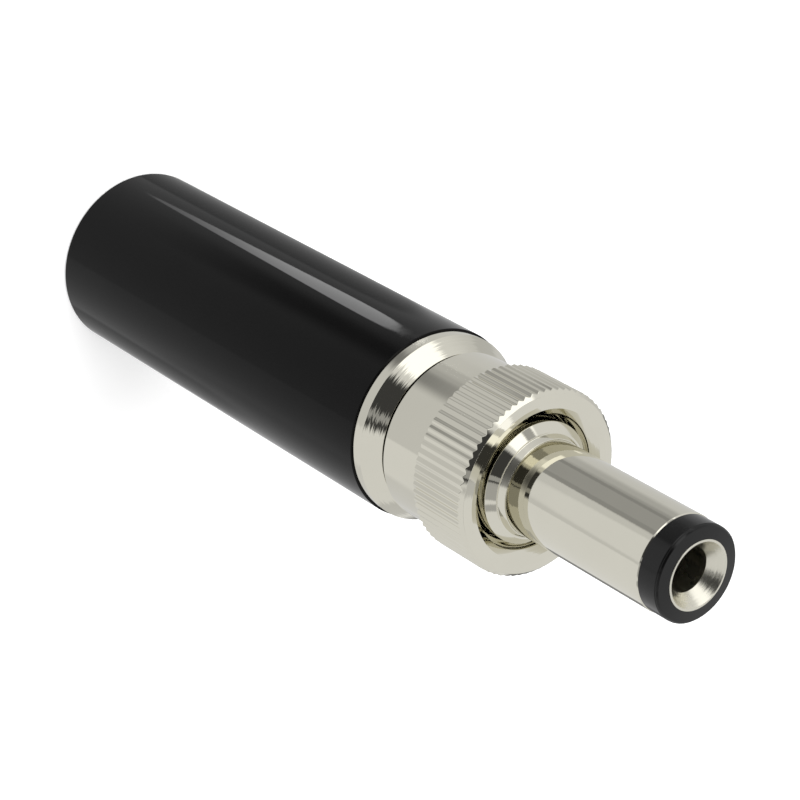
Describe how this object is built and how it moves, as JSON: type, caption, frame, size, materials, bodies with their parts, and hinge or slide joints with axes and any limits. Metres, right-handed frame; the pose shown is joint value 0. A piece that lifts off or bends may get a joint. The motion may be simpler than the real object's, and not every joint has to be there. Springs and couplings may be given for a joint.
{
  "type": "locking dc barrel plug",
  "caption": "Straight barrel plug for low-voltage DC leads, with a knurled coupling nut that screws onto the socket and a black screw-on handle.",
  "frame": {"origin": "centre of the handle's rear face, on the plug's axis", "axes": "+Z along the plug's axis, from the handle's rear face to the tip; +Y towards the tail of the sleeve terminal"},
  "size_m": [0.011, 0.011, 0.0512],
  "materials": {
    "handle_plastic": "smooth black moulding with a soft gloss",
    "liner_plastic": "thin natural insulating tube",
    "nickel_plate": "bright nickel plate on brass",
    "spring_steel": "bare spring steel",
    "tip_plastic": "smooth black moulding",
    "tin_plate": "tin plate on stamped brass"
  },
  "bodies": {
    "handle": {"handle": "handle_plastic"},
    "liner": {"insulating_liner": "liner_plastic"},
    "plug": {"plug_body": "nickel_plate", "retaining_bush": "nickel_plate", "barrel": "nickel_plate", "tip_insulator": "tip_plastic", "centre_contact": "nickel_plate", "rear_bush": "tip_plastic", "sleeve_terminal": "tin_plate", "centre_terminal": "tin_plate"},
    "ring": {"split_ring": "spring_steel"},
    "nut": {"coupling_nut": "nickel_plate"}
  },
  "joints": [
    {"name": "body_screw", "type": "hinge", "parent": "handle", "child": "liner", "pos_m": [0, 0, 0.024], "axis": [0, 0, 1], "range_deg": [0, 2520]},
    {"name": "body_rise", "type": "slide", "parent": "liner", "child": "plug", "axis": [0, 0, 1], "range_m": [0, 0.00525]},
    {"name": "nut_slide", "type": "slide", "parent": "plug", "child": "ring", "axis": [0, 0, 1], "range_m": [0, 0.0036]},
    {"name": "nut_spin", "type": "hinge", "parent": "ring", "child": "nut", "pos_m": [0, 0, 0.0354], "axis": [0, 0, 1], "continuous": true}
  ],
  "couplings": [
    {"joint": "body_screw", "follows": "body_rise", "rad_per_m": 8377.6}
  ]
}
